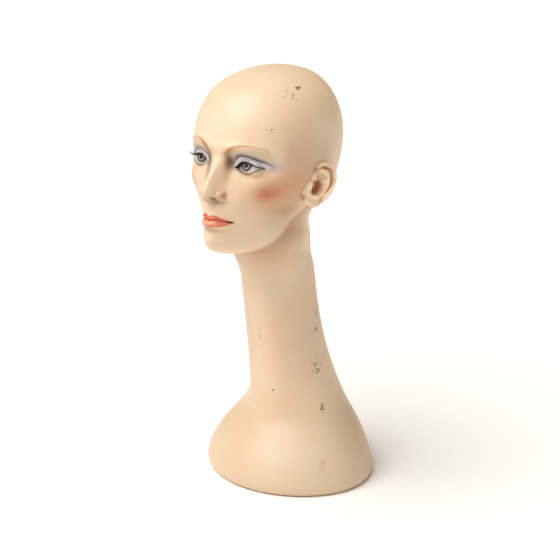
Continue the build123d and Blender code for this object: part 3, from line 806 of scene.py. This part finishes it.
    # wear: flecks about 1 mm across, cut from noise inside soft round regions, sparser towards each rim
    grain = {"Scale": 300.0, "Detail": 4.0, "Roughness": 0.6, "Distortion": 0.6}
    flecks = addNode(tree, "TexNoise", grain, {"Vector": place}).outputs["Fac"]
    worn = None
    for centre, size, dense, tone in wearPlaces:
        offset = addNode(tree, "VectorMath", {"operation": "SUBTRACT", 1: centre}, {0: place}).outputs[0]
        offset = addNode(tree, "VectorMath", {"operation": "DIVIDE", 1: size}, {0: offset}).outputs[0]
        away = addNode(tree, "VectorMath", {"operation": "LENGTH"}, {0: offset}).outputs["Value"]
        sparse = addNode(tree, "MapRange", {1: 0.2, 2: 1.2, 3: 0.0, 4: 0.22}, {0: away}).outputs[0]
        mark = addNode(tree, "Math", {"operation": "SUBTRACT"}, {0: flecks, 1: sparse}).outputs[0]
        cut = {"interpolation_type": "SMOOTHSTEP", 1: dense, 2: dense + 0.06, 3: 0.0, 4: 0.85}
        mark = addNode(tree, "MapRange", cut, {0: mark}).outputs[0]
        inside = addNode(tree, "Math", {"operation": "LESS_THAN", 1: 1.2}, {0: away}).outputs[0]
        mark = addNode(tree, "Math", {"operation": "MULTIPLY"}, {0: mark, 1: inside}).outputs[0]
        colour = addNode(tree, "Mix", {"data_type": "RGBA", 7: colourOf(tone)}, {0: mark, 6: colour}).outputs[2]
        worn = addNode(tree, "Math", {"operation": "MAXIMUM"}, {0: worn, 1: mark}).outputs[0] if worn else mark
    tree.links.new(colour, shader.inputs["Base Color"])

    rough = addNode(tree, "MapRange", {1: 0.35, 2: 0.65, 3: 0.38, 4: 0.46}, {0: cloud}).outputs[0]
    for mask, value in ((masks["lips"], 0.3), (masks["opening"], 0.2), (worn, 0.75)):
        rough = addNode(tree, "Mix", {"data_type": "FLOAT", 3: value}, {0: mask, 2: rough}).outputs[0]
    tree.links.new(rough, shader.inputs["Roughness"])
    peel = addNode(tree, "TexNoise", {"Scale": 600.0, "Detail": 1.0}, {"Vector": place}).outputs["Fac"]
    chipped = addNode(tree, "Math", {"operation": "MULTIPLY", 1: -1.5}, {0: worn}).outputs[0]
    height = addNode(tree, "Math", {"operation": "ADD"}, {0: peel, 1: chipped}).outputs[0]
    relief = addNode(tree, "Bump", {"Strength": 0.1, "Distance": 0.0002}, {"Height": height})
    tree.links.new(relief.outputs[0], shader.inputs["Normal"])
    return material


# two colours mottled by one noise, and a bump from the same noise: felt, wood grain, resin and the like
def mottled(name, dark, light, scale, stretch, roughness, depth, **surface):
    material, tree, shader = newMaterial(name, **{"Roughness": roughness}, **surface)
    place = addNode(tree, "TexCoord").outputs["Object"]
    turned = addNode(tree, "Mapping", {"Scale": stretch}, {"Vector": place}).outputs[0]
    grain = {"Scale": scale, "Detail": 5.0, "Roughness": 0.6}
    noise = addNode(tree, "TexNoise", grain, {"Vector": turned}).outputs["Fac"]
    mask = addNode(tree, "MapRange", {1: 0.35, 2: 0.65}, {0: noise}).outputs[0]
    tones = {"data_type": "RGBA", 6: colourOf(dark), 7: colourOf(light)}
    tree.links.new(addNode(tree, "Mix", tones, {0: mask}).outputs[2], shader.inputs["Base Color"])
    relief = addNode(tree, "Bump", {"Strength": 0.5, "Distance": depth}, {"Height": noise})
    tree.links.new(relief.outputs[0], shader.inputs["Normal"])
    return material


skin = sprayedSkin()
# pressed wool felt: matt and fuzzy, fibres about 1 mm long
felt = mottled("pressedFelt", "#35493f", "#4d6357", 900.0, (1, 1, 1), 0.95, 0.0006, **{"Sheen Weight": 0.3})
# birch plywood, sanded: long pale grain, veins about 2 mm apart
plywood = mottled("birchPlywood", "#b08a5c", "#cfab7c", 60.0, (1, 9, 9), 0.6, 0.0002)
# sawn pine: stronger, more yellow grain
pine = mottled("sawnPine", "#b9894f", "#d9b57e", 45.0, (8, 1, 8), 0.7, 0.0003)
# zinc-plated mild steel: dull blue-grey with a soft spangle
zinc = mottled("zincPlatedSteel", "#8e9192", "#b4b7b6", 120.0, (1, 1, 1), 0.38, 0.00005, **{"Metallic": 1.0})
# arc weld left as run: dark oxide over ripples
weld = mottled("arcWeldAsRun", "#3b3734", "#6a6560", 300.0, (1, 1, 1), 0.6, 0.0008, **{"Metallic": 0.8})
# chopped glass tape wetted with polyester resin: honey-coloured, glossy, fibrous
tape = mottled("polyesterGlassTape", "#9d8a58", "#c6b585", 350.0, (1, 1, 0.15), 0.3, 0.0004)
# knotted cotton band, dyed black
cotton = mottled("blackCottonBand", "#0d0b0d", "#1c191c", 1500.0, (1, 1, 1), 0.8, 0.0002)
# drawn polyester fibre, black, with a slight gloss
fibre = mottled("drawnPolyesterFibre", "#08070a", "#141116", 800.0, (1, 1, 1), 0.3, 0.00002)


# gives a piece its one material
def dress(piece, material):
    piece.data.materials.clear()
    piece.data.materials.append(material)


for piece, node, material, slotName in (
    (frontShell, "front_shell", skin, "painted_skin"),
    (rearShell, "rear_shell", skin, "painted_skin"),
    (leftEar, "left_ear", skin, "painted_skin"),
    (rightEar, "right_ear", skin, "painted_skin"),
    (leftLashes[0], "left_lash_fibres", fibre, "lash_fibre"),
    (leftLashes[1], "left_lash_band", cotton, "lash_band"),
    (rightLashes[0], "right_lash_fibres", fibre, "lash_fibre"),
    (rightLashes[1], "right_lash_band", cotton, "lash_band"),
):
    dress(piece, material)
    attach(piece, "root")
    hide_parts(node)

for node, material in (
    ("base_felt", felt), ("base_board", plywood), ("fixing_blocks", pine), ("bond_tape", tape),
    ("board_screws", zinc), ("socket_tube", zinc), ("socket_flange", zinc), ("socket_screws", zinc),
    ("socket_weld", weld),
):
    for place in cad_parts[node].material_slots:
        place.link = "OBJECT"
        place.material = material
print("materials")


# floor, light and camera
# turns a holder so that it faces a target
def lookAt(holder, target):
    holder.rotation_euler = (Vector(target) - holder.location).to_track_quat("-Z", "Y").to_euler()


studio = dict(
    azimuth=34.0, distance=2.2, height=1.046, aim=(0, 0, 0.231), lens=132.2, shift=(-9 / 560, 1 / 560),
    floor="#fdfdfc", fill=(0.33, 0.283, 0.23),
    # one wide soft light: degrees round from the front towards the right ear, degrees up, strength, spread
    lightRound=-22.0, lightUp=62.0, lightStrength=3.0, lightSpread=50.0,
)
floorMesh = bpy.data.meshes.new("floor")
floorMesh.from_pydata([(-6, -6, 0), (6, -6, 0), (6, 6, 0), (-6, 6, 0)], [], [(0, 1, 2, 3)])
floor = bpy.data.objects.new("floor", floorMesh)
bpy.context.collection.objects.link(floor)
floorMaterial, _, floorShader = newMaterial("paperSweep", Roughness=0.9)
floorShader.inputs["Base Color"].default_value = colourOf(studio["floor"])
dress(floor, floorMaterial)

lamp = bpy.data.lights.new("softOverhead", "SUN")
lamp.energy, lamp.angle = studio["lightStrength"], radians(studio["lightSpread"])
lampHolder = bpy.data.objects.new("softOverhead", lamp)
turn, rise = radians(studio["lightRound"]), radians(studio["lightUp"])
lampHolder.location = (3 * sin(turn) * cos(rise), -3 * cos(turn) * cos(rise), 3 * sin(rise))
lookAt(lampHolder, (0, 0, 0))
bpy.context.collection.objects.link(lampHolder)

world = bpy.data.worlds.new("paleRoom")
bpy.context.scene.world = world
world.use_nodes = True
# warm light fills the shade, while the camera itself sees white
seen = addNode(world.node_tree, "LightPath").outputs["Is Camera Ray"]
fill = addNode(world.node_tree, "Mix", {"data_type": "RGBA", 6: (*studio["fill"], 1), 7: (1, 1, 1, 1)}, {0: seen})
world.node_tree.links.new(fill.outputs[2], world.node_tree.nodes["Background"].inputs["Color"])

lens = bpy.data.cameras.new("camera")
camera = bpy.data.objects.new("camera", lens)
bpy.context.collection.objects.link(camera)
around = radians(studio["azimuth"])
camera.location = (studio["distance"] * sin(around), -studio["distance"] * cos(around), studio["height"])
lookAt(camera, studio["aim"])
lens.lens, lens.sensor_width = studio["lens"], 36
lens.shift_x, lens.shift_y = studio["shift"]
lens.clip_end = 50
bpy.context.scene.camera = camera
bpy.context.scene.view_settings.view_transform = "Standard"

print("finished")
